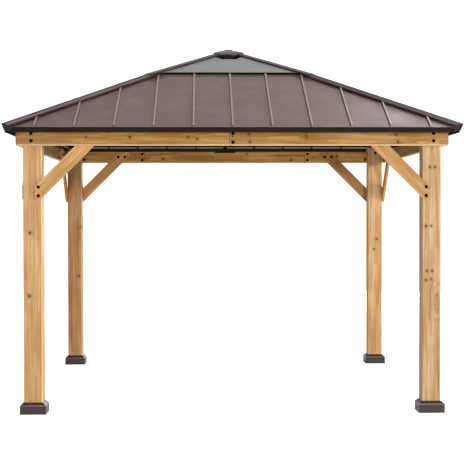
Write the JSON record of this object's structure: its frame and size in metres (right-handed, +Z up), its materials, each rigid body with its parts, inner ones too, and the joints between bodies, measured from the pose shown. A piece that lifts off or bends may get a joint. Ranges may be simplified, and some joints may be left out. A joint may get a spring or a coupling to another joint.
{
  "type": "timber-framed garden gazebo with steel hip roof",
  "caption": "Open square garden gazebo: timber posts, beams and knee braces carry a two-tier standing-seam steel hip roof with a translucent upper tier and a vent cap.",
  "frame": {"origin": "on the ground under the centre of the roof", "axes": "+Z up, -Y towards the front, +X to the right seen from the front"},
  "size_m": [3.38, 3.38, 2.906],
  "materials": {
    "post_timber": "stained softwood, satin",
    "beam_timber": "stained softwood, satin",
    "brace_timber": "stained softwood, satin",
    "skirt_steel": "dark brown powder coat",
    "roof_sheet": "brown powder coat, satin",
    "fascia_steel": "dark brown powder coat",
    "trim_steel": "brown powder coat, satin",
    "skylight_panel": "grey tinted polycarbonate sheet",
    "frame_steel": "black powder coat"
  },
  "bodies": {
    "root": {"back_beam": "beam_timber", "back_brace_left": "brace_timber", "back_brace_right": "brace_timber", "back_fascia": "fascia_steel", "back_left_hip_cap": "trim_steel", "back_left_post": "post_timber", "back_left_skirt": "skirt_steel", "back_right_hip_cap": "trim_steel", "back_right_post": "post_timber", "back_right_skirt": "skirt_steel", "back_skylight": "skylight_panel", "back_slope": "roof_sheet", "beam_rails": "frame_steel", "front_beam": "beam_timber", "front_brace_left": "brace_timber", "front_brace_right": "brace_timber", "front_fascia": "fascia_steel", "front_left_hip_cap": "trim_steel", "front_left_post": "post_timber", "front_left_skirt": "skirt_steel", "front_right_hip_cap": "trim_steel", "front_right_post": "post_timber", "front_right_skirt": "skirt_steel", "front_skylight": "skylight_panel", "front_slope": "roof_sheet", "hip_rafters": "frame_steel", "left_beam": "beam_timber", "left_brace_left": "brace_timber", "left_brace_right": "brace_timber", "left_fascia": "fascia_steel", "left_skylight": "skylight_panel", "left_slope": "roof_sheet", "mid_rafters": "frame_steel", "rafter_brackets": "frame_steel", "rafter_hub": "frame_steel", "right_beam": "beam_timber", "right_brace_left": "brace_timber", "right_brace_right": "brace_timber", "right_fascia": "fascia_steel", "right_skylight": "skylight_panel", "right_slope": "roof_sheet", "roof_cap": "trim_steel", "tier_curb": "frame_steel", "tier_purlins": "frame_steel", "upper_hip_trims": "trim_steel"}
  },
  "joints": []
}
